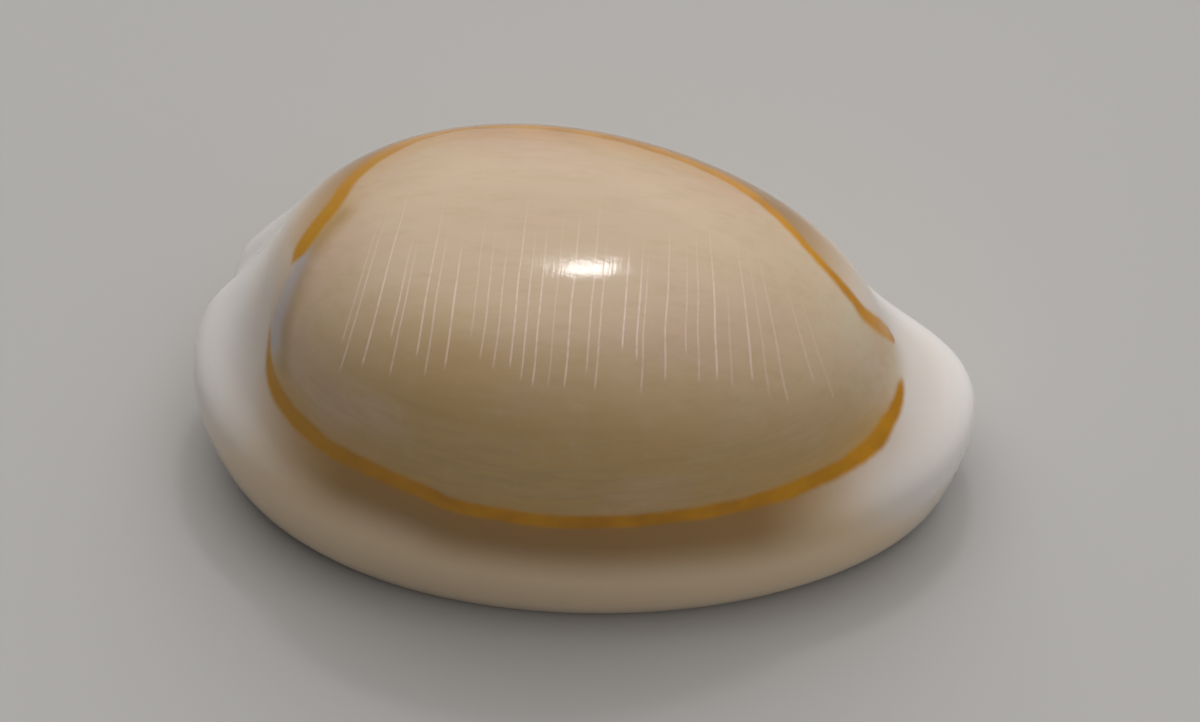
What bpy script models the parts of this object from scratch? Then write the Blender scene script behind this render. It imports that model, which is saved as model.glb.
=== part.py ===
"""Ring cowrie shell: one glossy, hollow, egg-shaped shell with a toothed slit along its flat underside.

+X is the front (siphon) end, -X the rear end, -Y the outer-lip side, +Y the inner-lip side.
The whole shell is one closed surface. It is swept through closed loops that start at a point on
the crown, pass down the dome, over the callus rim and across the base, go in through the slit and
end at a point on the ceiling of the hollow.
"""
import bpy
import numpy as np

NAME = "cowrie_shell"
MM = 0.001

# Axis of the dome on the ground plan, millimetres, before the shell is centred.
AXIS_X = -1.3
AXIS_Y = -0.4

# Control loops from the crown to the ceiling of the hollow, millimetres.
# Four reaches from the dome axis and four heights, each in the order rear, front, outer lip,
# inner lip; how far the loop follows the slit (0 an oval, 1 the slit); then how much narrower
# the front is than the rear on the outer-lip side and on the inner-lip side.
LOOPS = [
    ((3.5, 3.8, 2.2, 2.0), (11.2, 11.2, 11.2, 11.2), 0.0, (0.0, 0.0)),       # crown
    ((6.2, 7.0, 4.2, 3.95), (10.4, 10.1, 10.8, 10.65), 0.0, (0.0, 0.01)),    # upper dome
    ((8.2, 9.6, 5.9, 5.55), (8.7, 8.1, 9.2, 9.05), 0.0, (-0.01, 0.03)),      # shoulder
    ((8.45, 10.35, 6.7, 6.7), (7.2, 6.6, 7.2, 7.2), 0.0, (-0.02, 0.05)),     # flank
    ((8.85, 10.8, 6.85, 7.0), (5.9, 5.3, 5.5, 5.5), 0.0, (-0.02, 0.07)),     # foot of the dome
    ((9.6, 11.8, 7.0, 7.4), (4.9, 4.4, 4.2, 4.2), 0.0, (-0.01, 0.1)),        # valley
    ((11.0, 13.5, 7.2, 7.85), (4.3, 3.8, 3.1, 2.85), 0.0, (-0.03, 0.11)),    # top of the callus
    ((11.0, 13.2, 7.0, 8.0), (2.6, 2.2, 1.6, 1.4), 0.0, (-0.04, 0.1)),       # brim
    ((10.3, 12.65, 6.6, 7.45), (0.5, 0.3, -0.1, -0.1), 0.0, (-0.04, 0.05)),  # under the brim
    ((10.1, 12.6, 5.9, 6.4), (0.3, 0.3, -0.25, -0.25), 0.1, (0.0, 0.03)),    # rim of the base
    ((10.0, 12.5, 4.6, 5.0), (0.2, 0.2, -0.25, -0.25), 0.3, (0.0, 0.0)),     # base
    ((9.9, 12.4, 3.3, 3.4), (0.2, 0.2, -0.25, -0.25), 0.5, (0.0, 0.0)),      # inner base
    ((9.8, 12.3, 2.1, 2.0), (0.2, 0.2, -0.1, -0.1), 0.8, (-0.05, -0.05)),    # lip shoulder
    ((9.65, 12.15, 1.15, 1.05), (0.3, 0.3, 0.15, 0.15), 1.0, (-0.1, -0.1)),  # lip crest
    ((9.4, 11.85, 0.6, 0.55), (0.7, 0.7, 0.6, 0.6), 1.0, (-0.15, -0.15)),    # lip edge
    ((9.0, 11.4, 0.6, 0.55), (1.2, 1.2, 1.1, 1.1), 1.0, (-0.15, -0.15)),     # throat
    ((8.5, 10.9, 0.8, 0.75), (1.8, 1.8, 1.6, 1.6), 1.0, (-0.1, -0.1)),       # top of the throat
    ((8.2, 10.4, 2.6, 2.4), (2.8, 2.8, 1.9, 1.9), 0.7, (0.0, 0.0)),          # floor of the hollow
    ((7.6, 9.6, 5.1, 4.8), (3.4, 3.3, 2.4, 2.4), 0.3, (0.0, 0.0)),           # edge of the floor
    ((7.4, 9.3, 5.8, 5.8), (4.8, 4.4, 4.2, 4.2), 0.0, (0.0, 0.05)),          # inner wall
    ((7.1, 8.9, 5.4, 5.3), (7.0, 6.4, 7.0, 7.0), 0.0, (0.0, 0.02)),          # inner flank
    ((5.4, 6.2, 3.8, 3.4), (9.2, 9.0, 9.3, 9.3), 0.0, (0.0, 0.0)),           # inner shoulder
    ((2.8, 3.0, 1.8, 1.6), (9.9, 9.9, 9.9, 9.9), 0.0, (0.0, 0.0)),           # ceiling
]
CROWN = (AXIS_X, AXIS_Y, 11.2)
CEILING = (AXIS_X, AXIS_Y, 9.9)

# The callus climbs the rear end of the dome. Loops that move there, counted from the crown point;
# how far out and how far up, millimetres; then the angle of the middle of the climb, and its spread.
CLIMB = [
    (4, 0.3, 0.05),
    (5, 0.7, 0.2),
    (6, 0.6, 0.3),
    (7, 0.0, -0.12),
]
CLIMB_TURN = 2.85
CLIMB_SPREAD = 0.1

# Rows of the mesh: the position along the control loops where each stretch ends, its number of
# rows, and its number of columns, doubled where the teeth need them.
STRETCHES = [
    (1.0, 2, 84),
    (6.0, 10, 84),
    (9.0, 7, 84),
    (12.0, 3, 168),
    (17.0, 10, 168),
    (19.0, 3, 84),
    (22.0, 4, 84),
]
EVEN_SPACING = 0.93

# The slit curves towards the inner lip at the rear end and slightly at the front.
SLIT_MIDDLE_Y = -0.35
SLIT_REAR_X = -10.9
SLIT_REAR_BEND = 2.7
SLIT_REAR_POWER = 2.4
SLIT_FRONT_X = 12.0
SLIT_FRONT_BEND = 0.4

# Open canals run out from both ends of the slit below a rising roof; each one starts and is
# fully cut at the two distances from the middle. Only the loops past the brim are lifted.
CANAL_HALF_WIDTH = 0.65
CANAL_SIDE = 0.7
CANAL_FRONT = (9.0, 10.6)
CANAL_REAR = (8.0, 9.6)
ROOF_HEIGHT = 2.4
ROOF_RISE = 0.25
ROOF_ROUNDING = 0.5
ROOF_LOOPS = (6.0, 8.0)

# Notch of the rear end between its two beaks, seen from above.
NOTCH_Y = 2.0
NOTCH_DEPTH = 0.45
NOTCH_WIDTH = 0.8
NOTCH_X = (-9.0, -11.5)

# The front end is cut back on the inner-lip side, so its tip points to the outer lip.
CUT_Y = 4.2
CUT_DEPTH = 1.1
CUT_WIDTH = 1.55
CUT_X = (7.5, 11.0)

# Teeth along both lips: the gaps between them are sunk. They fade out towards both ends of the
# slit, and along the control loops from the base to the crest and from the edge into the throat.
TOOTH_PITCH = 1.5
OUTER_TOOTH_X = 0.2
INNER_TOOTH_X = 0.75
GAP_DEPTH = 0.4
TEETH_FRONT = (10.4, 9.4)
TEETH_REAR = (9.4, 8.4)
OUTER_GAP_LOOPS = (11.0, 13.6)
INNER_GAP_LOOPS = (11.6, 13.6)
THROAT_LOOPS = (17.2, 15.5)
LEAN_LOOPS = (12.0, 15.5)

# Below this height the surface eases into the flat ground contact of the base.
FLAT_BLEND = 0.3

COLOUR = (0.55, 0.44, 0.33, 1.0)
ROUGHNESS = 0.15
COAT = 0.6


def ramp(value, start, end):
    """Smooth step from 0 at start to 1 at end."""
    f = np.clip((value - start) / (end - start), 0.0, 1.0)
    return f * f * (3.0 - 2.0 * f)


def slit_y(x):
    """Centre line of the slit."""
    rear = np.clip(x / SLIT_REAR_X, 0.0, None) ** SLIT_REAR_POWER
    front = np.clip(x / SLIT_FRONT_X, 0.0, None) ** 2
    return SLIT_MIDDLE_Y + SLIT_REAR_BEND * rear + SLIT_FRONT_BEND * front


def loop_points(turn, reach, height, slit, taper):
    """One control loop; turn 0 is the front end and a quarter turn is the inner-lip side."""
    even = np.arcsin(EVEN_SPACING * np.cos(turn)) / np.arcsin(EVEN_SPACING)
    c = (1.0 - slit) * np.cos(turn) + slit * even
    power = 2.0 + slit
    s = np.sign(np.sin(turn)) * np.clip(1.0 - np.abs(c) ** power, 0.0, 1.0) ** (1.0 / power)
    rear, front, outer, inner = reach
    x = AXIS_X + c * ((front + rear) / 2 + (front - rear) / 2 * c)
    narrowing = np.where(s > 0.0, taper[1], taper[0])
    across = s * ((outer + inner) / 2 + (inner - outer) / 2 * s) * (1.0 - narrowing * c)
    y = (1.0 - slit) * AXIS_Y + slit * slit_y(x) + across
    rear, front, outer, inner = height
    z = (rear + front + outer + inner) / 4 + (front - rear) / 2 * c + (inner - outer) / 2 * s
    z += (front + rear - outer - inner) / 4 * (2.0 * c * c - 1.0)
    return np.stack([x, y, z], axis=-1)


def spline_weights(position, count):
    """Weights of the control loops at each position, for a cubic curve clamped at both ends."""
    knots = np.concatenate([np.zeros(3), np.arange(count - 2), np.full(3, count - 3)]).astype(float)
    position = np.clip(position, 0.0, count - 3 - 1e-9)
    weights = ((position[:, None] >= knots[:-1]) & (position[:, None] < knots[1:])).astype(float)
    for degree in (1, 2, 3):
        size = len(knots) - 1 - degree
        raised = np.zeros((len(position), size))
        for i in range(size):
            left = knots[i + degree] - knots[i]
            right = knots[i + degree + 1] - knots[i + 1]
            if left > 0:
                raised[:, i] += (position - knots[i]) / left * weights[:, i]
            if right > 0:
                raised[:, i] += (knots[i + degree + 1] - position) / right * weights[:, i + 1]
        weights = raised
    return weights


def shape_ends(points):
    """Draw the rear end in between its two beaks and cut back the front end."""
    x, y = points[..., 0], points[..., 1]
    rear = np.exp(-((y - NOTCH_Y) / NOTCH_WIDTH) ** 2) * ramp(x, *NOTCH_X)
    front = np.exp(-((y - CUT_Y) / CUT_WIDTH) ** 2) * ramp(x, *CUT_X)
    points[..., 0] = x + NOTCH_DEPTH * rear - CUT_DEPTH * front


def flatten_base(points):
    """Make everything that dips below the ground exactly flat."""
    z = points[..., 2]
    low = np.clip(z, 0.0, None)
    eased = low * low * (2.0 * FLAT_BLEND - low) / FLAT_BLEND ** 2
    points[..., 2] = np.where(z < FLAT_BLEND, eased, z)


def carve_teeth(points, position, turn):
    """Sink the gaps between the teeth into both lips."""
    x = points[..., 0]
    inner = np.sin(turn)[None, :] > 0.0
    loops = position[:, None]
    phase = (x - np.where(inner, INNER_TOOTH_X, OUTER_TOOTH_X)) / TOOTH_PITCH
    gap = 0.5 - 0.5 * np.cos(2.0 * np.pi * phase)
    rise = np.where(inner, ramp(loops, *INNER_GAP_LOOPS), ramp(loops, *OUTER_GAP_LOOPS))
    depth = GAP_DEPTH * gap * rise * ramp(loops, *THROAT_LOOPS)
    depth = depth * ramp(x, *TEETH_FRONT) * ramp(-x, *TEETH_REAR)
    lean = 0.5 * np.pi * ramp(loops, *LEAN_LOOPS)
    points[..., 1] += depth * np.sin(lean) * np.where(inner, 1.0, -1.0)
    points[..., 2] += depth * np.cos(lean)


def carve_canals(points, position):
    """Lift the underside to the canal roof at both ends of the slit."""
    x, y, z = points[..., 0], points[..., 1], points[..., 2]
    side = ramp(np.abs(y - slit_y(x)), CANAL_HALF_WIDTH + CANAL_SIDE, CANAL_HALF_WIDTH)
    end = np.maximum(ramp(x, *CANAL_FRONT), ramp(-x, *CANAL_REAR))
    inward = np.clip(np.where(x > 0.0, SLIT_FRONT_X - x, x - SLIT_REAR_X), 0.0, None)
    roof = ROOF_HEIGHT + ROOF_RISE * inward
    lifted = 0.5 * (z + roof + np.sqrt((z - roof) ** 2 + ROOF_ROUNDING ** 2))
    below = ramp(position, *ROOF_LOOPS)[:, None]
    points[..., 2] = z + side * end * below * (lifted - z)


def control_net(turn):
    """The control loops at the given angles, between the crown and the ceiling."""
    net = [np.tile(CROWN, (len(turn), 1))]
    net.extend(loop_points(turn, *loop) for loop in LOOPS)
    net.append(np.tile(CEILING, (len(turn), 1)))
    net = np.array(net)
    share = np.exp((np.cos(turn - CLIMB_TURN) - 1.0) / CLIMB_SPREAD)
    for row, out, up in CLIMB:
        net[row, :, 0] += out * share * np.cos(turn)
        net[row, :, 1] += out * share * np.sin(turn)
        net[row, :, 2] += up * share
    return net


def surface(position, columns):
    """Rows of points round the shell at the given positions along the control loops."""
    turn = 2.0 * np.pi * np.arange(columns) / columns
    net = control_net(turn)
    points = np.einsum("ur,rtc->utc", spline_weights(position, len(net)), net)
    shape_ends(points)
    flatten_base(points)
    carve_teeth(points, position, turn)
    carve_canals(points, position)
    return points


def mesh_rows():
    """All rows of the mesh between the crown point and the ceiling point."""
    rows = []
    start = 0.0
    for end, count, columns in STRETCHES:
        position = start + (end - start) * np.arange(1, count + 1) / count
        rows.extend(surface(position, columns))
        start = end
    return rows


def join_rows(first, second, a, b):
    """Faces between two neighbouring rows that start at the vertex numbers a and b."""
    n, m = len(first), len(second)
    faces = []
    if n == m:
        for i in range(n):
            j = (i + 1) % n
            faces.append((a + i, b + i, b + j, a + j))
    elif m == 2 * n:
        for i in range(n):
            j = (i + 1) % n
            faces.append((a + i, b + 2 * i, b + 2 * i + 1))
            faces.append((a + i, b + 2 * i + 1, a + j))
            faces.append((a + j, b + 2 * i + 1, b + 2 * j))
    else:
        for i in range(m):
            j = (i + 1) % m
            faces.append((b + i, a + 2 * i + 1, a + 2 * i))
            faces.append((b + i, b + j, a + 2 * i + 1))
            faces.append((b + j, a + 2 * j, a + 2 * i + 1))
    return faces


def build():
    rows = mesh_rows()
    points = np.vstack([[CROWN]] + rows + [[CEILING]])
    middle = (points.min(axis=0) + points.max(axis=0)) / 2
    points[:, :2] -= middle[:2]

    starts = 1 + np.cumsum([0] + [len(row) for row in rows])
    first, last = len(rows[0]), len(rows[-1])
    faces = [(0, 1 + i, 1 + (i + 1) % first) for i in range(first)]
    for i in range(len(rows) - 1):
        faces.extend(join_rows(rows[i], rows[i + 1], int(starts[i]), int(starts[i + 1])))
    rim = int(starts[-2])
    faces.extend((len(points) - 1, rim + (i + 1) % last, rim + i) for i in range(last))

    mesh = bpy.data.meshes.new(NAME)
    mesh.from_pydata((points * MM).tolist(), [], faces)
    mesh.update()
    mesh.shade_smooth()
    shell = bpy.data.objects.new(NAME, mesh)
    bpy.context.scene.collection.objects.link(shell)
    return shell


def glaze(shell):
    material = bpy.data.materials.new("porcelain_glaze")
    material.use_nodes = True
    shader = material.node_tree.nodes["Principled BSDF"]
    shader.inputs["Base Color"].default_value = COLOUR
    shader.inputs["Roughness"].default_value = ROUGHNESS
    shader.inputs["Coat Weight"].default_value = COAT
    shell.data.materials.append(material)


for item in list(bpy.data.objects):
    bpy.data.objects.remove(item, do_unlink=True)
glaze(build())
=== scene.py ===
"""Looks of the ring cowrie shell.

The finished shell is the same surface as the CAD solid, meshed finely. The golden ring, the dome,
the callus and the fine pale lines are painted by its material from values stored on the vertices.
Lengths are millimetres until the mesh is made.
"""
import math

import bpy
import numpy as np
from mathutils import Matrix, Quaternion, Vector
from mathutils.kdtree import KDTree


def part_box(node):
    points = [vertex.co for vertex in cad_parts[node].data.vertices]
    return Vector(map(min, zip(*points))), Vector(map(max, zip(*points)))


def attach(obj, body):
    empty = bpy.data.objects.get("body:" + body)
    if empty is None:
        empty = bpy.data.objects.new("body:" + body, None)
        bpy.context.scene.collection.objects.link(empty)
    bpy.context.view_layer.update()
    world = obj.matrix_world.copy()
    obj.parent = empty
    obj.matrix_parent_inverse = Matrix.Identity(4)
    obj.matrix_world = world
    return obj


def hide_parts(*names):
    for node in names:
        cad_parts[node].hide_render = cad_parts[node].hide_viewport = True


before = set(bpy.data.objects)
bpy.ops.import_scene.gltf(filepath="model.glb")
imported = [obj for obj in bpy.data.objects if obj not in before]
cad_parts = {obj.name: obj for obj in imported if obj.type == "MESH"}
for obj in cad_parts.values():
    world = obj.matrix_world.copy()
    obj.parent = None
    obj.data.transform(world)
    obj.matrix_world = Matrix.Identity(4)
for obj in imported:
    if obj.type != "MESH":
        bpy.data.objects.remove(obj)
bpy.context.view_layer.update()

MM = 0.001

# The CAD surface: axis of the dome, then control loops from the crown to the hollow's ceiling.
# Each row has four reaches and four heights (rear, front, outer lip, inner lip), how far the loop
# follows the slit, and how its outer-lip and inner-lip sides taper towards the front.
AXIS_X = -1.3
AXIS_Y = -0.4
LOOPS = [
    ((3.5, 3.8, 2.2, 2.0), (11.2, 11.2, 11.2, 11.2), 0.0, (0.0, 0.0)),       # crown
    ((6.2, 7.0, 4.2, 3.95), (10.4, 10.1, 10.8, 10.65), 0.0, (0.0, 0.01)),    # upper dome
    ((8.2, 9.6, 5.9, 5.55), (8.7, 8.1, 9.2, 9.05), 0.0, (-0.01, 0.03)),      # shoulder
    ((8.45, 10.35, 6.7, 6.7), (7.2, 6.6, 7.2, 7.2), 0.0, (-0.02, 0.05)),     # flank
    ((8.85, 10.8, 6.85, 7.0), (5.9, 5.3, 5.5, 5.5), 0.0, (-0.02, 0.07)),     # foot of the dome
    ((9.6, 11.8, 7.0, 7.4), (4.9, 4.4, 4.2, 4.2), 0.0, (-0.01, 0.1)),        # valley
    ((11.0, 13.5, 7.2, 7.85), (4.3, 3.8, 3.1, 2.85), 0.0, (-0.03, 0.11)),    # top of the callus
    ((11.0, 13.2, 7.0, 8.0), (2.6, 2.2, 1.6, 1.4), 0.0, (-0.04, 0.1)),       # brim
    ((10.3, 12.65, 6.6, 7.45), (0.5, 0.3, -0.1, -0.1), 0.0, (-0.04, 0.05)),  # under the brim
    ((10.1, 12.6, 5.9, 6.4), (0.3, 0.3, -0.25, -0.25), 0.1, (0.0, 0.03)),    # rim of the base
    ((10.0, 12.5, 4.6, 5.0), (0.2, 0.2, -0.25, -0.25), 0.3, (0.0, 0.0)),     # base
    ((9.9, 12.4, 3.3, 3.4), (0.2, 0.2, -0.25, -0.25), 0.5, (0.0, 0.0)),      # inner base
    ((9.8, 12.3, 2.1, 2.0), (0.2, 0.2, -0.1, -0.1), 0.8, (-0.05, -0.05)),    # lip shoulder
    ((9.65, 12.15, 1.15, 1.05), (0.3, 0.3, 0.15, 0.15), 1.0, (-0.1, -0.1)),  # lip crest
    ((9.4, 11.85, 0.6, 0.55), (0.7, 0.7, 0.6, 0.6), 1.0, (-0.15, -0.15)),    # lip edge
    ((9.0, 11.4, 0.6, 0.55), (1.2, 1.2, 1.1, 1.1), 1.0, (-0.15, -0.15)),     # throat
    ((8.5, 10.9, 0.8, 0.75), (1.8, 1.8, 1.6, 1.6), 1.0, (-0.1, -0.1)),       # top of the throat
    ((8.2, 10.4, 2.6, 2.4), (2.8, 2.8, 1.9, 1.9), 0.7, (0.0, 0.0)),          # floor of the hollow
    ((7.6, 9.6, 5.1, 4.8), (3.4, 3.3, 2.4, 2.4), 0.3, (0.0, 0.0)),           # edge of the floor
    ((7.4, 9.3, 5.8, 5.8), (4.8, 4.4, 4.2, 4.2), 0.0, (0.0, 0.05)),          # inner wall
    ((7.1, 8.9, 5.4, 5.3), (7.0, 6.4, 7.0, 7.0), 0.0, (0.0, 0.02)),          # inner flank
    ((5.4, 6.2, 3.8, 3.4), (9.2, 9.0, 9.3, 9.3), 0.0, (0.0, 0.0)),           # inner shoulder
    ((2.8, 3.0, 1.8, 1.6), (9.9, 9.9, 9.9, 9.9), 0.0, (0.0, 0.0)),           # ceiling
]
CROWN = (AXIS_X, AXIS_Y, 11.2)
CEILING = (AXIS_X, AXIS_Y, 9.9)
EVEN_SPACING = 0.93
CURVE_DEGREE = 3
CURVE_END = 1e-9

# Centre line of the slit, and the canals at its two ends with their roof.
SLIT_MIDDLE_Y = -0.35
SLIT_REAR_X = -10.9
SLIT_REAR_BEND = 2.7
SLIT_REAR_POWER = 2.4
SLIT_FRONT_X = 12.0
SLIT_FRONT_BEND = 0.4
CANAL_HALF_WIDTH = 0.65
CANAL_SIDE = 0.7
CANAL_FRONT = (9.0, 10.6)
CANAL_REAR = (8.0, 9.6)
ROOF_HEIGHT = 2.4
ROOF_RISE = 0.25
ROOF_ROUNDING = 0.5
ROOF_LOOPS = (6.0, 8.0)

# Dip between the two rear beaks, and the cut-back front end.
NOTCH_Y = 2.0
NOTCH_DEPTH = 0.45
NOTCH_WIDTH = 0.8
NOTCH_X = (-9.0, -11.5)
CUT_Y = 4.2
CUT_DEPTH = 1.1
CUT_WIDTH = 1.55
CUT_X = (7.5, 11.0)

# Teeth on both lips, and between which loops the gaps deepen, end and turn into the slit.
TOOTH_PITCH = 1.5
OUTER_TOOTH_X = 0.2
INNER_TOOTH_X = 0.75
GAP_DEPTH = 0.4
TEETH_FRONT = (10.4, 9.4)
TEETH_REAR = (9.4, 8.4)
OUTER_GAP_LOOPS = (11.0, 13.6)
INNER_GAP_LOOPS = (11.6, 13.6)
THROAT_LOOPS = (17.2, 15.5)
LEAN_LOOPS = (12.0, 15.5)

# Height over which the base eases into the flat. Then the climb of the far callus lobe at the
# rear: control loop, how far out and how far up, round one angle in radians.
FLAT_BLEND = 0.3
CLIMB = [
    (4, 0.3, 0.05),
    (5, 0.7, 0.2),
    (6, 0.6, 0.3),
    (7, 0.0, -0.12),
]
CLIMB_TURN = 2.85
CLIMB_SPREAD = 0.1

# Fine mesh: the loop where each stretch ends, its rows and its columns.
STRETCHES = [
    (1.0, 8, 320),
    (6.0, 64, 320),
    (9.0, 36, 320),
    (12.0, 14, 640),
    (17.0, 46, 640),
    (19.0, 8, 320),
    (22.0, 12, 320),
]

# Golden ring: degrees round the dome (0 front, 90 inner lip, 180 rear, 270 outer lip), position
# along the control loops and half width in millimetres. It runs from the rear along the outer lip
# to the front and back along the inner lip, and is open where the half width is 0.
RING = [
    (193, 2.7, 0.0),
    (196, 3.15, 0.1),
    (199.5, 3.55, 0.16),
    (203, 3.8, 0.29),
    (208, 3.95, 0.34),
    (216, 4.0, 0.36),
    (228, 3.98, 0.35),
    (240, 3.9, 0.33),
    (250, 3.95, 0.3),
    (260, 4.12, 0.3),
    (280, 4.17, 0.29),
    (300, 4.22, 0.27),
    (315, 4.34, 0.29),
    (328, 4.43, 0.29),
    (336, 4.46, 0.31),
    (343, 4.36, 0.3),
    (349, 4.29, 0.24),
    (354, 4.2, 0.16),
    (359, 4.1, 0.0),
    (365, 3.9, 0.0),
    (366, 3.62, 0.26),
    (364, 3.1, 0.3),
    (361, 2.4, 0.27),
    (366, 1.86, 0.2),
    (376, 1.53, 0.18),
    (392, 1.44, 0.24),
    (410, 1.48, 0.35),
    (432, 1.48, 0.42),
    (450, 1.55, 0.45),
    (470, 1.7, 0.45),
    (484, 1.66, 0.42),
    (500, 1.5, 0.36),
    (514, 1.4, 0.32),
    (524, 1.36, 0.34),
    (535, 1.5, 0.34),
    (542, 1.7, 0.3),
    (547, 1.95, 0.0),
    (553, 2.4, 0.0),
]
RING_FADE = 0.16
RING_STEPS = 24
RING_REACH_LOOPS = 7.0
RING_OUT_OF_REACH = -9.0

# Fine pale lines: they lie in planes that run along the viewing direction of the photograph. Each
# row is a place across the middle of the view and the lean there, as a part of the way down.
LEANS = [
    (-8.0, -0.36),
    (-6.7, -0.29),
    (-5.6, -0.21),
    (-4.2, -0.14),
    (-1.5, -0.10),
    (1.7, -0.07),
    (3.1, 0.0),
    (4.3, 0.07),
    (5.2, 0.18),
    (6.4, 0.32),
    (8.0, 0.45),
]
LEAN_LEVEL = 1.2
LEAN_ROUNDS = 12
LINES_LEFT = -7.9
LINES_RIGHT = 6.8
DESCENT_Z = 3.0

# Marks in the open rear end of the ring: a bluish fold and an ochre smear inside it, as degrees
# round the dome and positions along the control loops, with their half widths.
FOLD = [(186, 1.65), (191, 1.85), (195.5, 2.2), (197, 2.6), (199, 3.1)]
FOLD_WIDTH = 0.42
SMEAR = [(172, 1.18), (182, 1.42), (192, 1.72), (199, 2.1), (203, 2.7), (206, 3.2)]
SMEAR_WIDTH = 0.4
ROUTE_STEPS = 60

# Whiteness of the callus, and how strong the brown shade painted near the ring is, which depend on
# the distance from the middle, the side and the height.
MIDDLE_X = -0.65
WHITE_REAR = 0.62
WHITE_ENDS_X = (7.5, 12.0)
WHITE_HIGH = 0.4
WHITE_HIGH_Z = (3.2, 5.5)
WHITE_HIGH_X = (6.0, 9.5)
WHITE_INNER = 0.3
WHITE_INNER_Y = (1.0, 5.0)
WHITE_LOW = 0.7
WHITE_LOW_Z = (4.2, 1.2)
SHADE_MIDDLE = 0.95
SHADE_DROP = 0.7
SHADE_X = (6.0, 10.0)

# Camera of the photograph, in degrees and millimetres.
AZIMUTH = 5.0
ELEVATION = 53.0
DISTANCE = 300.0
LENS = 292.05
AIM = (0.5073, -0.5328, 4.5772)
VIEW_MIDDLE = (0.0, 0.0, 5.0)
SENSOR_WIDTH = 36.0
CLIP_START = 10.0
CLIP_END = 10000.0

# Lights: a small bright lamp and a dim strip at one place, with their sizes in millimetres, their
# powers in watts and their rolls in degrees.
LAMP = (9.0, 89.0, 184.0)
LAMP_SIZE = (22.0, 13.0)
LAMP_POWER = 0.028
LAMP_ROLL = -5.6
STRIP_SIZE = (46.0, 9.0)
STRIP_POWER = 0.007
STRIP_ROLL = -14.0

# Surroundings, whose brightness depends on the direction: even light, more of it from the side of
# the front end, a wide glow overhead, and a band of glow low behind the shell. A pair of numbers is
# where a step starts and ends.
FILL = 0.055
FRONT = (0.84, -0.48, 0.25)
FRONT_EDGE = (0.1, 1.0)
FRONT_GLOW = 0.43
OVERHEAD = (-0.02, 0.45, 0.89)
OVERHEAD_EDGE = (0.55, 1.0)
OVERHEAD_GLOW = 1.75
GLOW_BEHIND = (0.35, 0.75)
GLOW_TOP = (0.75, 0.55)
GLOW_BOTTOM = (-0.3, -0.1)
GLOW = 0.4
SURROUND = (1.0, 0.98, 0.96, 1.0)

# Plain pale floor.
FLOOR_REACH = 600.0
FLOOR_COLOUR = (0.46, 0.455, 0.45, 1.0)
FLOOR_ROUGHNESS = 0.9

# Colours of the shell.
LINE_COLOUR = (0.78, 0.58, 0.50, 1.0)
RING_COLOUR = (0.55, 0.245, 0.001, 1.0)
RING_DARK = (0.43, 0.183, 0.001, 1.0)
# Deeper gold, painted at the rear to offset the reflection that pales the ring there.
RING_AGAINST_REFLECTION = (0.45, 0.21, 0.001, 1.0)
DOME_UPPER = (0.57, 0.435, 0.30, 1.0)
DOME_LOWER = (0.49, 0.325, 0.14, 1.0)
DOME_PINK = (0.57, 0.405, 0.31, 1.0)
DOME_OLIVE = (0.38, 0.28, 0.13, 1.0)
DOME_MIST = (0.56, 0.49, 0.36, 1.0)
FOLD_COLOUR = (0.41, 0.385, 0.41, 1.0)
SMEAR_COLOUR = (0.32, 0.20, 0.05, 1.0)
CALLUS_WHITE = (0.78, 0.75, 0.73, 1.0)
CALLUS_CREAM = (0.77, 0.60, 0.40, 1.0)
# Brown painted shade for the hollow just outside the ring, which the dome shades.
CALLUS_PAINTED_SHADE = (0.30, 0.165, 0.055, 1.0)
THROAT_COLOUR = (0.42, 0.30, 0.20, 1.0)

# Painting. In all that follows, NOISE is scale, detail and roughness, EDGES are where a soft step
# starts and ends, and SHARE is the most of a colour that is mixed in.
# Fine lines: lines per millimetre, how unevenly they lie, the edges of a line in millimetres, and
# where the lines end, in degrees of descent from the crown.
LINE_DENSITY = 2.2
LINE_SCATTER = 0.75
LINE_EDGES = (0.045, 0.01)
LINE_SWAY_NOISE = (0.35, 1.0)
LINE_SWAY = 0.2
LINE_LOWEST = 38.0
LINE_SHORTENING = -11.0
LINE_END_EDGES = (0.0, 2.5)
LINE_TOP = -14.0
LINE_TOP_SPREAD = 22.0
LINE_TOP_FULL = 20.0
LINE_SIDE_FADE = 0.8
LINE_WEAKEST = 0.3
LINE_STRENGTH_SPREAD = 0.65
LINE_WEAR_NOISE = (4.0, 2.0)
LINE_WEAR_EDGES = (0.3, 0.55)
LINE_WORN = 0.55
LINE_WEAR_SPREAD = 0.45

# Dome.
BAND_NOISE = (0.18, 2.0)
BAND_SHIFT = 26.0
BAND_EDGES = (22.0, 70.0)
PINK_STRETCH = (0.5, 1.0, 1.0)
PINK_NOISE = (0.33, 3.0)
PINK_EDGES = (0.45, 0.72)
PINK_SHARE = 0.6
STREAK_SPACING = 14.0
STREAK_NOISE = (0.5, 4.0)
STREAK_EDGES = (0.4, 0.7)
STREAK_DESCENT_EDGES = (25.0, 60.0)
STREAK_SHARE = 0.35
MIST_NOISE = (0.45, 3.0)
MIST_EDGES = (0.4, 0.65)
MIST_RING_EDGES = (2.4, 0.6)
MIST_ALONG_EDGES = (2.0, 6.0)
MIST_DESCENT_EDGES = (32.0, 8.0)
MIST_SHARE = 0.7
FLECK_NOISE = (1.6, 5.0, 0.6)
FLECK_EDGES = (0.5, 0.8)
FLECK_SHARE = 0.25
MOTTLE_STRETCH = (0.25, 1.0, 1.0)
MOTTLE_NOISE = (2.5, 5.0, 0.65)
MOTTLE_EDGES = (0.4, 0.75)
MOTTLE_SHARE = 0.2
SMEAR_SHARE = 0.6
FOLD_SHARE = 0.75

# Callus, base and throat, by distance from the ring and position along the control loops.
CLOUD_NOISE = (0.25, 3.0)
CLOUD_SHIFT = 0.4
WHITE_EDGES = (0.1, 1.1)
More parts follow.
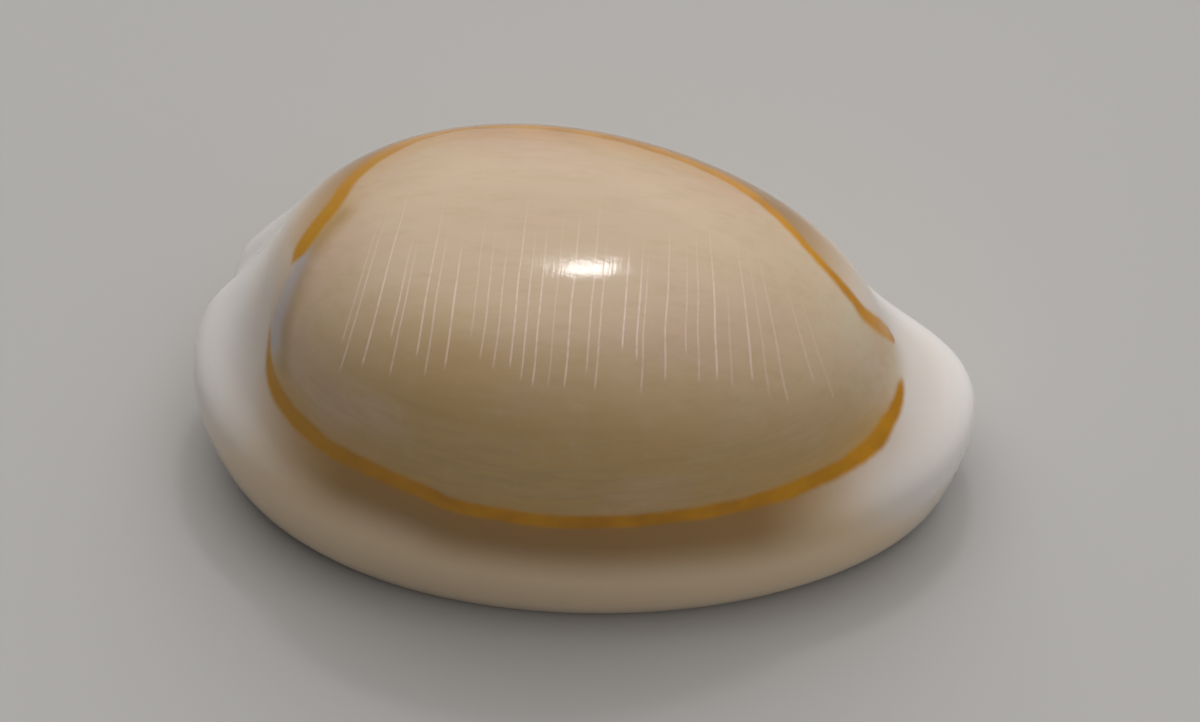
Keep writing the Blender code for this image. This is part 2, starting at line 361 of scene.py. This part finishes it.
# Where the painted shade outside the ring starts and where it is full, in millimetres from the
# ring.
PAINTED_SHADE_RING_EDGES = (-3.0, -1.0)
BASE_LOOP_EDGES = (7.0, 9.5)
BASE_SHARE = 0.7
THROAT_LOOP_EDGES = (14.5, 17.0)

# Border between callus and dome, golden ring and its halo.
RAGGED_NOISE = (0.9, 4.0, 0.6)
RAGGED = 0.24
BORDER_OPEN = 0.55
BORDER_NARROWING = -0.45
RING_SOFTNESS = 0.13
HALO_REACH = 4.5
HALO_GROWTH = 2.0
HALO_START = -0.45
GOLD_NOISE = (0.7, 3.0)
GOLD_EDGES = (0.35, 0.7)
# The gold is painted deeper towards the rear end, against the reflection that pales it there.
AGAINST_REFLECTION_EDGES = (-4.0, -8.0)
AGAINST_REFLECTION_SHARE = 0.85

# Gloss, and a very slight relief of ripples and grain.
GLOSS = {
    "Specular IOR Level": 0.3,
    "Subsurface Weight": 0.1,
    "Subsurface Radius": (1.0, 0.7, 0.5),
    "Subsurface Scale": 0.3 * MM,
}
ROUGHNESS_NOISE = (0.8, 5.0, 0.6)
ROUGHNESS = 0.05
ROUGHNESS_SPREAD = 0.10
BUMP_STRENGTH = 0.15
BUMP_HEIGHT = 0.02
RIPPLE_NOISE = (7.0, 2.0)
RIPPLE_DESCENT = 0.02
RIPPLE_WEIGHT = 0.8
GRAIN_STRETCH = (0.6, 1.0, 1.0)
GRAIN_NOISE = (3.0, 4.0)


def ramp(value, start, end):
    """Smooth step from 0 at start to 1 at end."""
    f = np.clip((value - start) / (end - start), 0.0, 1.0)
    return f * f * (3.0 - 2.0 * f)


def slit_y(x):
    """Centre line of the slit."""
    rear = np.clip(x / SLIT_REAR_X, 0.0, None) ** SLIT_REAR_POWER
    front = np.clip(x / SLIT_FRONT_X, 0.0, None) ** 2
    return SLIT_MIDDLE_Y + SLIT_REAR_BEND * rear + SLIT_FRONT_BEND * front


def loop_points(turn, reach, height, slit, taper):
    """One control loop; turn 0 is the front end and a quarter turn is the inner-lip side."""
    even = np.arcsin(EVEN_SPACING * np.cos(turn)) / np.arcsin(EVEN_SPACING)
    c = (1.0 - slit) * np.cos(turn) + slit * even
    power = 2.0 + slit
    s = np.sign(np.sin(turn)) * np.clip(1.0 - np.abs(c) ** power, 0.0, 1.0) ** (1.0 / power)
    rear, front, outer, inner = reach
    x = AXIS_X + c * ((front + rear) / 2 + (front - rear) / 2 * c)
    narrowing = np.where(s > 0.0, taper[1], taper[0])
    across = s * ((outer + inner) / 2 + (inner - outer) / 2 * s) * (1.0 - narrowing * c)
    y = (1.0 - slit) * AXIS_Y + slit * slit_y(x) + across
    rear, front, outer, inner = height
    z = (rear + front + outer + inner) / 4 + (front - rear) / 2 * c + (inner - outer) / 2 * s
    z += (front + rear - outer - inner) / 4 * (2.0 * c * c - 1.0)
    return np.stack([x, y, z], axis=-1)


def spline_weights(position, count):
    """Weights of the control loops at each position, for a cubic curve clamped at both ends."""
    spans = count - CURVE_DEGREE
    first, last = np.zeros(CURVE_DEGREE), np.full(CURVE_DEGREE, spans)
    knots = np.concatenate([first, np.arange(spans + 1), last]).astype(float)
    position = np.clip(position, 0.0, spans - CURVE_END)
    weights = ((position[:, None] >= knots[:-1]) & (position[:, None] < knots[1:])).astype(float)
    for degree in range(1, CURVE_DEGREE + 1):
        size = len(knots) - 1 - degree
        raised = np.zeros((len(position), size))
        for i in range(size):
            left = knots[i + degree] - knots[i]
            right = knots[i + degree + 1] - knots[i + 1]
            if left > 0:
                raised[:, i] += (position - knots[i]) / left * weights[:, i]
            if right > 0:
                raised[:, i] += (knots[i + degree + 1] - position) / right * weights[:, i + 1]
        weights = raised
    return weights


def shape_ends(points):
    """Draw the rear end in between its two beaks and cut back the front end."""
    x, y = points[..., 0], points[..., 1]
    rear = np.exp(-((y - NOTCH_Y) / NOTCH_WIDTH) ** 2) * ramp(x, *NOTCH_X)
    front = np.exp(-((y - CUT_Y) / CUT_WIDTH) ** 2) * ramp(x, *CUT_X)
    points[..., 0] = x + NOTCH_DEPTH * rear - CUT_DEPTH * front


def flatten_base(points):
    """Make everything that dips below the ground exactly flat."""
    z = points[..., 2]
    low = np.clip(z, 0.0, None)
    eased = low * low * (2.0 * FLAT_BLEND - low) / FLAT_BLEND ** 2
    points[..., 2] = np.where(z < FLAT_BLEND, eased, z)


def carve_teeth(points, position, turn):
    """Sink the gaps between the teeth into both lips."""
    x = points[..., 0]
    inner = np.sin(turn)[None, :] > 0.0
    loops = position[:, None]
    phase = (x - np.where(inner, INNER_TOOTH_X, OUTER_TOOTH_X)) / TOOTH_PITCH
    gap = 0.5 - 0.5 * np.cos(2.0 * np.pi * phase)
    rise = np.where(inner, ramp(loops, *INNER_GAP_LOOPS), ramp(loops, *OUTER_GAP_LOOPS))
    depth = GAP_DEPTH * gap * rise * ramp(loops, *THROAT_LOOPS)
    depth = depth * ramp(x, *TEETH_FRONT) * ramp(-x, *TEETH_REAR)
    lean = 0.5 * np.pi * ramp(loops, *LEAN_LOOPS)
    points[..., 1] += depth * np.sin(lean) * np.where(inner, 1.0, -1.0)
    points[..., 2] += depth * np.cos(lean)


def carve_canals(points, position):
    """Lift the underside to the canal roof at both ends of the slit."""
    x, y, z = points[..., 0], points[..., 1], points[..., 2]
    side = ramp(np.abs(y - slit_y(x)), CANAL_HALF_WIDTH + CANAL_SIDE, CANAL_HALF_WIDTH)
    end = np.maximum(ramp(x, *CANAL_FRONT), ramp(-x, *CANAL_REAR))
    inward = np.clip(np.where(x > 0.0, SLIT_FRONT_X - x, x - SLIT_REAR_X), 0.0, None)
    roof = ROOF_HEIGHT + ROOF_RISE * inward
    lifted = 0.5 * (z + roof + np.sqrt((z - roof) ** 2 + ROOF_ROUNDING ** 2))
    below = ramp(position, *ROOF_LOOPS)[:, None]
    points[..., 2] = z + side * end * below * (lifted - z)


def control_net(turn):
    """The control loops, with the crown and the ceiling, at the given angles."""
    net = [np.tile(CROWN, (len(turn), 1))]
    net.extend(loop_points(turn, *loop) for loop in LOOPS)
    net.append(np.tile(CEILING, (len(turn), 1)))
    net = np.array(net)
    share = np.exp((np.cos(turn - CLIMB_TURN) - 1.0) / CLIMB_SPREAD)
    for row, out, up in CLIMB:
        net[row, :, 0] += out * share * np.cos(turn)
        net[row, :, 1] += out * share * np.sin(turn)
        net[row, :, 2] += up * share
    return net


def surface(position, columns):
    """Rows of points round the shell at the given positions along the control loops."""
    turn = 2.0 * np.pi * np.arange(columns) / columns
    net = control_net(turn)
    points = np.einsum("ur,rtc->utc", spline_weights(position, len(net)), net)
    shape_ends(points)
    flatten_base(points)
    carve_teeth(points, position, turn)
    carve_canals(points, position)
    return points


def mesh_rows():
    """All rows of the mesh, and the position and angle of each of their points."""
    rows, places = [], []
    start = 0.0
    for end, count, columns in STRETCHES:
        position = start + (end - start) * np.arange(1, count + 1) / count
        turn = 2.0 * np.pi * np.arange(columns) / columns
        rows.extend(surface(position, columns))
        places.extend(np.stack([np.full(columns, p), turn], axis=-1) for p in position)
        start = end
    return rows, places


def join_rows(first, second, a, b):
    """Faces between two neighbouring rows that start at the vertex numbers a and b."""
    n, m = len(first), len(second)
    faces = []
    if n == m:
        for i in range(n):
            j = (i + 1) % n
            faces.append((a + i, b + i, b + j, a + j))
    elif m == 2 * n:
        for i in range(n):
            j = (i + 1) % n
            faces.append((a + i, b + 2 * i, b + 2 * i + 1))
            faces.append((a + i, b + 2 * i + 1, a + j))
            faces.append((a + j, b + 2 * i + 1, b + 2 * j))
    else:
        for i in range(m):
            j = (i + 1) % m
            faces.append((b + i, a + 2 * i + 1, a + 2 * i))
            faces.append((b + i, b + j, a + 2 * i + 1))
            faces.append((b + j, a + 2 * j, a + 2 * i + 1))
    return faces


def closed_curve(values, steps):
    """Closed smooth curve through rows of values."""
    before, after, beyond = np.roll(values, 1, 0), np.roll(values, -1, 0), np.roll(values, -2, 0)
    out = []
    for f in np.arange(steps) / steps:
        a = -0.5 * f ** 3 + f ** 2 - 0.5 * f
        b = 1.5 * f ** 3 - 2.5 * f ** 2 + 1.0
        c = -1.5 * f ** 3 + 2.0 * f ** 2 + 0.5 * f
        d = 0.5 * f ** 3 - 0.5 * f ** 2
        out.append(a * before + b * values + c * after + d * beyond)
    return np.stack(out, axis=1).reshape(-1, values.shape[1])


def plan(position, turn):
    """Unrolled plan of the dome: distance from the centre is the position along the loops."""
    return np.stack([position * np.cos(turn), position * np.sin(turn)], axis=-1)


def inside(points, outline):
    """Whether each point of the plan lies inside the closed outline."""
    found = np.zeros(len(points), dtype=bool)
    x, y = points[:, 0], points[:, 1]
    for (ax, ay), (bx, by) in zip(outline, np.roll(outline, -1, 0)):
        crossed = (ay > y) != (by > y)
        if ay != by:
            found ^= crossed & (x < ax + (y - ay) / (by - ay) * (bx - ax))
    return found


def ring_curve():
    """Dense ring: its points on the shell, its outline on the plan, and its half widths."""
    table = np.array(RING, dtype=float)
    position, turn = table[:, 1], np.radians(table[:, 0])
    knots = np.column_stack([plan(position, turn), table[:, 2]])
    dense = closed_curve(knots, RING_STEPS)
    position = np.hypot(dense[:, 0], dense[:, 1])
    turn = np.arctan2(dense[:, 1], dense[:, 0])
    net = control_net(turn)
    points = np.einsum("nr,rnc->nc", spline_weights(position, len(net)), net)
    shape_ends(points)
    return points, dense[:, :2], np.clip(dense[:, 2], 0.0, None)


def ring_values(points, position, turn):
    """Signed distance from the ring, positive towards the crown, and its half width there."""
    curve, outline, width = ring_curve()
    tree = KDTree(len(curve))
    for i, point in enumerate(curve):
        tree.insert(point, i)
    tree.balance()
    distance = np.full(len(points), RING_OUT_OF_REACH)
    half_width = np.zeros(len(points))
    near = np.flatnonzero(position < RING_REACH_LOOPS)
    within = inside(plan(position[near], turn[near]), outline)
    for k, is_in in zip(near, within):
        _, i, gap = tree.find(points[k])
        distance[k] = gap if is_in else -gap
        half_width[k] = width[i]
    return distance, half_width


def nearness(points, route, width):
    """How near each point is to a route on the shell: 1 on it, falling off over its width."""
    table = np.array(route, dtype=float)
    share = np.linspace(0, len(table) - 1, ROUTE_STEPS)
    turn = np.radians(np.interp(share, range(len(table)), table[:, 0]))
    position = np.interp(share, range(len(table)), table[:, 1])
    net = control_net(turn)
    curve = np.einsum("nr,rnc->nc", spline_weights(position, len(net)), net)
    gaps = np.linalg.norm(points[:, None] - curve[None], axis=2).min(axis=1)
    return np.exp(-(gaps / width) ** 2)


def view_axes():
    """Backward, right and up directions of the photograph's camera."""
    azimuth, elevation = np.radians([AZIMUTH, ELEVATION])
    back = np.array([
        np.sin(azimuth) * np.cos(elevation),
        -np.cos(azimuth) * np.cos(elevation),
        np.sin(elevation),
    ])
    right = np.array([np.cos(azimuth), np.sin(azimuth), 0.0])
    return back, right, np.cross(back, right)


def fan_values(points):
    """Where the fine line through each point crosses the level at which the lines are spaced."""
    _, right, up = view_axes()
    placed = points - VIEW_MIDDLE
    across, down = placed @ right, LEAN_LEVEL - placed @ up
    places, leans = np.array(LEANS).T
    start = across
    for _ in range(LEAN_ROUNDS):
        start = 0.5 * start + 0.5 * (across - down * np.interp(start, places, leans))
    return start


def whiteness(x, y, z):
    """How white the callus is: towards the two ends and on the inner-lip side, less so low down."""
    off_middle = np.abs(x - MIDDLE_X)
    ends = np.where(x < 0.0, WHITE_REAR, 1.0) * ramp(off_middle, *WHITE_ENDS_X)
    high = WHITE_HIGH * ramp(z, *WHITE_HIGH_Z) * ramp(off_middle, *WHITE_HIGH_X)
    inner = WHITE_INNER * ramp(y, *WHITE_INNER_Y)
    return ends + high + inner - WHITE_LOW * ramp(z, *WHITE_LOW_Z)


def paint_values(points, position, turn):
    """All values that the material reads from the vertices."""
    x, y, z = points.T
    distance, half_width = ring_values(points, position, turn)
    return {
        "ring_distance": distance,
        "ring_half_width": half_width,
        "fan": fan_values(points),
        "descent": np.degrees(np.arctan2(AXIS_Y - y, z - DESCENT_Z)),
        "loop": position,
        "fold": nearness(points, FOLD, FOLD_WIDTH),
        "smear": nearness(points, SMEAR, SMEAR_WIDTH),
        "whiteness": whiteness(x, y, z),
        "shade": SHADE_MIDDLE - SHADE_DROP * ramp(np.abs(x - MIDDLE_X), *SHADE_X),
        "along": x,
    }


def shell_faces(rows):
    """Faces over all rows, with a fan round the crown and another round the ceiling."""
    starts = [int(start) for start in 1 + np.cumsum([0] + [len(row) for row in rows])]
    first, last = len(rows[0]), len(rows[-1])
    faces = [(0, 1 + i, 1 + (i + 1) % first) for i in range(first)]
    for i in range(len(rows) - 1):
        faces.extend(join_rows(rows[i], rows[i + 1], starts[i], starts[i + 1]))
    rim, ceiling = starts[-2:]
    faces.extend((ceiling, rim + (i + 1) % last, rim + i) for i in range(last))
    return faces


def make_shell():
    """The finished shell: the CAD surface on a fine mesh, inside the CAD box, with its values."""
    rows, places = mesh_rows()
    points = np.vstack([[CROWN]] + rows + [[CEILING]])
    places = np.vstack([[(0.0, 0.0)]] + places + [[(float(len(LOOPS) - 1), 0.0)]])
    values = paint_values(points, places[:, 0], places[:, 1])
    middle = (points.min(axis=0) + points.max(axis=0)) / 2
    points[:, :2] -= middle[:2]
    low, high = (np.array(corner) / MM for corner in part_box("cowrie_shell"))
    points *= np.minimum(1.0, (high - low) / (points.max(axis=0) - points.min(axis=0)))

    mesh = bpy.data.meshes.new("finished_shell")
    mesh.from_pydata((points * MM).tolist(), [], shell_faces(rows))
    mesh.update()
    mesh.shade_smooth()
    for name, numbers in values.items():
        layer = mesh.attributes.new(name, "FLOAT", "POINT")
        layer.data.foreach_set("value", numbers.astype(np.float32))
    shell = bpy.data.objects.new("finished_shell", mesh)
    bpy.context.scene.collection.objects.link(shell)
    return shell


class Nodes:
    """Short calls for building the nodes of a new material or of the world."""

    def __init__(self, name, world=None):
        self.material = world or bpy.data.materials.new(name)
        self.material.use_nodes = True
        self.tree = self.material.node_tree
        self.shader = self.tree.nodes.get("Principled BSDF")

    def put(self, socket, value):
        """Link an output to a socket, or set a number or colour on it."""
        if isinstance(value, bpy.types.NodeSocket):
            self.tree.links.new(value, socket)
        else:
            socket.default_value = value

    def value(self, name):
        """A value stored on the vertices."""
        node = self.tree.nodes.new("ShaderNodeAttribute")
        node.attribute_name = name
        return node.outputs["Fac"]

    def math(self, operation, a, b=0.0, c=0.0):
        """One sum, product or other operation on up to three numbers."""
        node = self.tree.nodes.new("ShaderNodeMath")
        node.operation = operation
        for socket, value in zip(node.inputs, (a, b, c)):
            self.put(socket, value)
        return node.outputs[0]

    def step(self, value, start, end):
        """Smooth step of a value from 0 at start to 1 at end."""
        node = self.tree.nodes.new("ShaderNodeMapRange")
        node.interpolation_type = "SMOOTHSTEP"
        self.put(node.inputs["Value"], value)
        self.put(node.inputs["From Min"], start)
        self.put(node.inputs["From Max"], end)
        return node.outputs["Result"]

    def mix(self, share, a, b):
        """Colour between a, where the share is 0, and b, where it is 1."""
        node = self.tree.nodes.new("ShaderNodeMix")
        node.data_type = "RGBA"
        self.put(node.inputs["Factor"], share)
        first, second = (socket for socket in node.inputs if socket.type == "RGBA")
        self.put(first, a)
        self.put(second, b)
        return next(socket for socket in node.outputs if socket.type == "RGBA")

    def place(self, scale=(1.0, 1.0, 1.0)):
        """Object coordinates in millimetres, stretched."""
        source = self.tree.nodes.new("ShaderNodeTexCoord").outputs["Object"]
        node = self.tree.nodes.new("ShaderNodeMapping")
        self.put(node.inputs["Vector"], source)
        node.inputs["Scale"].default_value = [s / MM for s in scale]
        return node.outputs["Vector"]

    def combine(self, x, y, z):
        """Vector from three numbers."""
        node = self.tree.nodes.new("ShaderNodeCombineXYZ")
        for socket, value in zip(node.inputs, (x, y, z)):
            self.put(socket, value)
        return node.outputs[0]

    def noise(self, vector, scale, detail, roughness=0.5):
        """Cloudy noise, mostly between 0.3 and 0.7."""
        node = self.tree.nodes.new("ShaderNodeTexNoise")
        self.put(node.inputs["Vector"], vector)
        node.inputs["Scale"].default_value = scale
        node.inputs["Detail"].default_value = detail
        node.inputs["Roughness"].default_value = roughness
        return node.outputs["Fac"]

    def patches(self, vector, noise, edges):
        """Noise turned into soft patches between 0 and 1."""
        return self.step(self.noise(vector, *noise), *edges)

    def tint(self, colour, amount, share, other):
        """Mix another colour in, by an amount times the most that is mixed in."""
        return self.mix(self.math("MULTIPLY", amount, share), colour, other)

    def cells(self, value, scale, randomness):
        """One-dimensional cells: distance from the middle of the cell, and its random colour."""
        node = self.tree.nodes.new("ShaderNodeTexVoronoi")
        node.voronoi_dimensions = "1D"
        self.put(node.inputs["W"], value)
        node.inputs["Scale"].default_value = scale
        node.inputs["Randomness"].default_value = randomness
        split = self.tree.nodes.new("ShaderNodeSeparateColor")
        self.put(split.inputs[0], node.outputs["Color"])
        return node.outputs["Distance"], split.outputs


def fine_lines(nodes):
    """Strength of the fine pale lines on the dome."""
    descent = nodes.value("descent")
    sway = nodes.noise(nodes.place(), *LINE_SWAY_NOISE)
    fan = nodes.math("MULTIPLY_ADD", sway, LINE_SWAY, nodes.value("fan"))
    distance, chance = nodes.cells(fan, LINE_DENSITY, LINE_SCATTER)
    line = nodes.step(distance, *(edge * LINE_DENSITY for edge in LINE_EDGES))
    shortening = nodes.math("MULTIPLY", chance[0], chance[0])
    lowest = nodes.math("MULTIPLY_ADD", shortening, LINE_SHORTENING, LINE_LOWEST)
    lower_end = nodes.step(nodes.math("SUBTRACT", lowest, descent), *LINE_END_EDGES)
    top = nodes.math("MULTIPLY_ADD", chance[1], LINE_TOP_SPREAD, LINE_TOP)
    upper_end = nodes.step(descent, top, LINE_TOP_FULL)
    left = nodes.step(fan, LINES_LEFT, LINES_LEFT + LINE_SIDE_FADE)
    right = nodes.step(fan, LINES_RIGHT, LINES_RIGHT - LINE_SIDE_FADE)
    strength = nodes.math("MULTIPLY_ADD", chance[2], LINE_STRENGTH_SPREAD, LINE_WEAKEST)
    wear = nodes.patches(nodes.place(), LINE_WEAR_NOISE, LINE_WEAR_EDGES)
    wear = nodes.math("MULTIPLY_ADD", wear, LINE_WEAR_SPREAD, LINE_WORN)
    for part in (lower_end, upper_end, left, right, strength, wear):
        line = nodes.math("MULTIPLY", line, part)
    return line


def dome_colour(nodes):
    """Beige of the dome with soft bands, mottling and fine streaks along the growth lines."""
    descent, along = nodes.value("descent"), nodes.value("along")
    level = nodes.noise(nodes.place(), *BAND_NOISE)
    level = nodes.math("MULTIPLY_ADD", level, BAND_SHIFT, descent)
    colour = nodes.mix(nodes.step(level, *BAND_EDGES), DOME_UPPER, DOME_LOWER)
    pink = nodes.patches(nodes.place(PINK_STRETCH), PINK_NOISE, PINK_EDGES)
    colour = nodes.tint(colour, pink, PINK_SHARE, DOME_PINK)

    growth = nodes.math("MULTIPLY", nodes.value("loop"), STREAK_SPACING)
    streak = nodes.patches(nodes.combine(along, growth, 0.0), STREAK_NOISE, STREAK_EDGES)
    streak = nodes.math("MULTIPLY", streak, nodes.step(descent, *STREAK_DESCENT_EDGES))
    colour = nodes.tint(colour, streak, STREAK_SHARE, DOME_OLIVE)

    mist = nodes.patches(nodes.place(), MIST_NOISE, MIST_EDGES)
    mist = nodes.math("MULTIPLY", mist, nodes.step(nodes.value("ring_distance"), *MIST_RING_EDGES))
    mist = nodes.math("MULTIPLY", mist, nodes.step(along, *MIST_ALONG_EDGES))
    mist = nodes.math("MULTIPLY", mist, nodes.step(descent, *MIST_DESCENT_EDGES))
    colour = nodes.tint(colour, mist, MIST_SHARE, DOME_MIST)

    fleck = nodes.patches(nodes.place(), FLECK_NOISE, FLECK_EDGES)
    colour = nodes.tint(colour, fleck, FLECK_SHARE, DOME_UPPER)
    mottle = nodes.patches(nodes.place(MOTTLE_STRETCH), MOTTLE_NOISE, MOTTLE_EDGES)
    colour = nodes.tint(colour, mottle, MOTTLE_SHARE, DOME_OLIVE)
    colour = nodes.tint(colour, nodes.value("smear"), SMEAR_SHARE, SMEAR_COLOUR)
    colour = nodes.tint(colour, nodes.value("fold"), FOLD_SHARE, FOLD_COLOUR)
    return nodes.mix(fine_lines(nodes), colour, LINE_COLOUR)


def callus_colour(nodes):
    """Porcelain callus and base: white at the ends, cream along the sides, painted shade near the
    ring.
    """
    cloud = nodes.noise(nodes.place(), *CLOUD_NOISE)
    white = nodes.math("MULTIPLY_ADD", cloud, CLOUD_SHIFT, nodes.value("whiteness"))
    colour = nodes.mix(nodes.step(white, *WHITE_EDGES), CALLUS_CREAM, CALLUS_WHITE)
    # Painted shade: the callus turns brown just outside the ring, where the dome shades it.
    painted_shade = nodes.step(nodes.value("ring_distance"), *PAINTED_SHADE_RING_EDGES)
    painted_shade = nodes.math("MULTIPLY", painted_shade, nodes.value("shade"))
    colour = nodes.mix(painted_shade, colour, CALLUS_PAINTED_SHADE)
    loop = nodes.value("loop")
    base = nodes.step(loop, *BASE_LOOP_EDGES)
    colour = nodes.tint(colour, base, BASE_SHARE, CALLUS_WHITE)
    return nodes.mix(nodes.step(loop, *THROAT_LOOP_EDGES), colour, THROAT_COLOUR)


def gild(nodes, colour, offset, half_width, strength):
    """Paint the golden ring and its halo over a colour."""
    side = nodes.math("ABSOLUTE", offset)
    outer = nodes.math("ADD", half_width, RING_SOFTNESS)
    inner = nodes.math("SUBTRACT", half_width, RING_SOFTNESS)
    band = nodes.math("MULTIPLY", nodes.step(side, outer, inner), strength)
    halo = nodes.step(side, nodes.math("MULTIPLY", half_width, HALO_REACH), half_width)
    amount = nodes.math("MULTIPLY_ADD", half_width, HALO_GROWTH, HALO_START)
    halo = nodes.math("MULTIPLY", halo, nodes.math("MAXIMUM", amount, 0.0))
    depth = nodes.patches(nodes.place(), GOLD_NOISE, GOLD_EDGES)
    gold = nodes.mix(depth, RING_COLOUR, RING_DARK)
    # Painted against a reflection: the gold is deeper towards the rear, where a reflection pales
    # it.
    rear = nodes.step(nodes.value("along"), *AGAINST_REFLECTION_EDGES)
    gold = nodes.tint(gold, rear, AGAINST_REFLECTION_SHARE, RING_AGAINST_REFLECTION)
    return nodes.mix(band, nodes.mix(halo, colour, gold), gold)


def add_relief(nodes, onto_dome):
    """A very slight bump: ripples along the fine lines of the dome, and grain all over."""
    descent = nodes.math("MULTIPLY", nodes.value("descent"), RIPPLE_DESCENT)
    ripple = nodes.noise(nodes.combine(nodes.value("fan"), descent, 0.0), *RIPPLE_NOISE)
    ripple = nodes.math("MULTIPLY", ripple, onto_dome)
    grain = nodes.noise(nodes.place(GRAIN_STRETCH), *GRAIN_NOISE)
    bump = nodes.tree.nodes.new("ShaderNodeBump")
    bump.inputs["Strength"].default_value = BUMP_STRENGTH
    bump.inputs["Distance"].default_value = BUMP_HEIGHT * MM
    nodes.put(bump.inputs["Height"], nodes.math("MULTIPLY_ADD", ripple, RIPPLE_WEIGHT, grain))
    nodes.put(nodes.shader.inputs["Normal"], bump.outputs["Normal"])


def make_glaze():
    """Material of the shell: callus, dome and golden ring under one gloss."""
    nodes = Nodes("shell_glaze")
    ragged = nodes.noise(nodes.place(), *RAGGED_NOISE)
    ragged = nodes.math("MULTIPLY_ADD", ragged, RAGGED, -0.5 * RAGGED)
    offset = nodes.math("ADD", nodes.value("ring_distance"), ragged)
    half_width = nodes.value("ring_half_width")
    strength = nodes.step(half_width, 0.0, RING_FADE)
    edge = nodes.math("MULTIPLY_ADD", strength, BORDER_NARROWING, BORDER_OPEN)
    onto_dome = nodes.step(offset, nodes.math("MULTIPLY", edge, -1.0), edge)
    colour = nodes.mix(onto_dome, callus_colour(nodes), dome_colour(nodes))
    colour = gild(nodes, colour, offset, half_width, strength)
    nodes.put(nodes.shader.inputs["Base Color"], colour)

    wear = nodes.noise(nodes.place(), *ROUGHNESS_NOISE)
    roughness = nodes.math("MULTIPLY_ADD", wear, ROUGHNESS_SPREAD, ROUGHNESS)
    nodes.put(nodes.shader.inputs["Roughness"], roughness)
    for name, number in GLOSS.items():
        nodes.shader.inputs[name].default_value = number
    add_relief(nodes, onto_dome)
    return nodes.material


def make_floor():
    """Plain pale floor under the shell."""
    reach = FLOOR_REACH * MM
    mesh = bpy.data.meshes.new("floor")
    corners = [(-reach, -reach), (reach, -reach), (reach, reach), (-reach, reach)]
    mesh.from_pydata([(x, y, 0.0) for x, y in corners], [], [(0, 1, 2, 3)])
    floor = bpy.data.objects.new("floor", mesh)
    bpy.context.scene.collection.objects.link(floor)
    nodes = Nodes("floor_paper")
    nodes.shader.inputs["Base Color"].default_value = FLOOR_COLOUR
    nodes.shader.inputs["Roughness"].default_value = FLOOR_ROUGHNESS
    mesh.materials.append(nodes.material)


def make_camera():
    """Camera at the viewing angle and distance of the photograph."""
    back, right, up = (Vector(axis) for axis in view_axes())
    camera = bpy.data.objects.new("camera", bpy.data.cameras.new("camera"))
    camera.data.lens = LENS
    camera.data.sensor_width = SENSOR_WIDTH
    camera.data.clip_start = CLIP_START * MM
    camera.data.clip_end = CLIP_END * MM
    camera.matrix_world = Matrix.Translation((Vector(AIM) + back * DISTANCE) * MM) @ Matrix((
        (right.x, up.x, back.x, 0.0),
        (right.y, up.y, back.y, 0.0),
        (right.z, up.z, back.z, 0.0),
        (0.0, 0.0, 0.0, 1.0),
    ))
    bpy.context.scene.collection.objects.link(camera)
    bpy.context.scene.camera = camera


def add_light(name, place, size, power, roll):
    """Area light at a place in millimetres, aimed at the middle of the shell and rolled."""
    light = bpy.data.lights.new(name, "AREA")
    light.shape = "RECTANGLE"
    light.size, light.size_y = size[0] * MM, size[1] * MM
    light.energy = power
    lamp = bpy.data.objects.new(name, light)
    lamp.location = Vector(place) * MM
    aim = Vector(VIEW_MIDDLE) * MM - lamp.location
    turn = aim.to_track_quat("-Z", "Y") @ Quaternion((0.0, 0.0, 1.0), math.radians(roll))
    lamp.rotation_euler = turn.to_euler()
    bpy.context.scene.collection.objects.link(lamp)


def make_surroundings():
    """Soft light from all round, stronger from some directions."""
    world = bpy.data.worlds.new("studio")
    world.use_nodes = True
    bpy.context.scene.world = world
    nodes = Nodes("studio", world)
    direction = nodes.tree.nodes.new("ShaderNodeTexCoord").outputs["Generated"]
    split = nodes.tree.nodes.new("ShaderNodeSeparateXYZ")
    nodes.put(split.inputs[0], direction)
    _, across, upward = split.outputs
    brightness = FILL
    lobes = [(FRONT, FRONT_EDGE, FRONT_GLOW), (OVERHEAD, OVERHEAD_EDGE, OVERHEAD_GLOW)]
    for place, edge, strength in lobes:
        facing = nodes.tree.nodes.new("ShaderNodeVectorMath")
        facing.operation = "DOT_PRODUCT"
        nodes.put(facing.inputs[0], direction)
        nodes.put(facing.inputs[1], place)
        share = nodes.step(facing.outputs["Value"], *edge)
        brightness = nodes.math("MULTIPLY_ADD", share, strength, brightness)
    glow = nodes.math("MULTIPLY", nodes.step(across, *GLOW_BEHIND), nodes.step(upward, *GLOW_TOP))
    glow = nodes.math("MULTIPLY", glow, nodes.step(upward, *GLOW_BOTTOM))
    brightness = nodes.math("MULTIPLY_ADD", glow, GLOW, brightness)
    background = nodes.tree.nodes["Background"]
    background.inputs["Color"].default_value = SURROUND
    nodes.put(background.inputs["Strength"], brightness)


def make_lights():
    """A small bright lamp and a dim strip for the highlight, and soft surroundings for the rest."""
    add_light("lamp", LAMP, LAMP_SIZE, LAMP_POWER, LAMP_ROLL)
    add_light("strip", LAMP, STRIP_SIZE, STRIP_POWER, STRIP_ROLL)
    make_surroundings()
    bpy.context.scene.view_settings.view_transform = "Standard"


shell = make_shell()
shell.data.materials.append(make_glaze())
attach(shell, "root")
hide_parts("cowrie_shell")
make_floor()
make_lights()
make_camera()
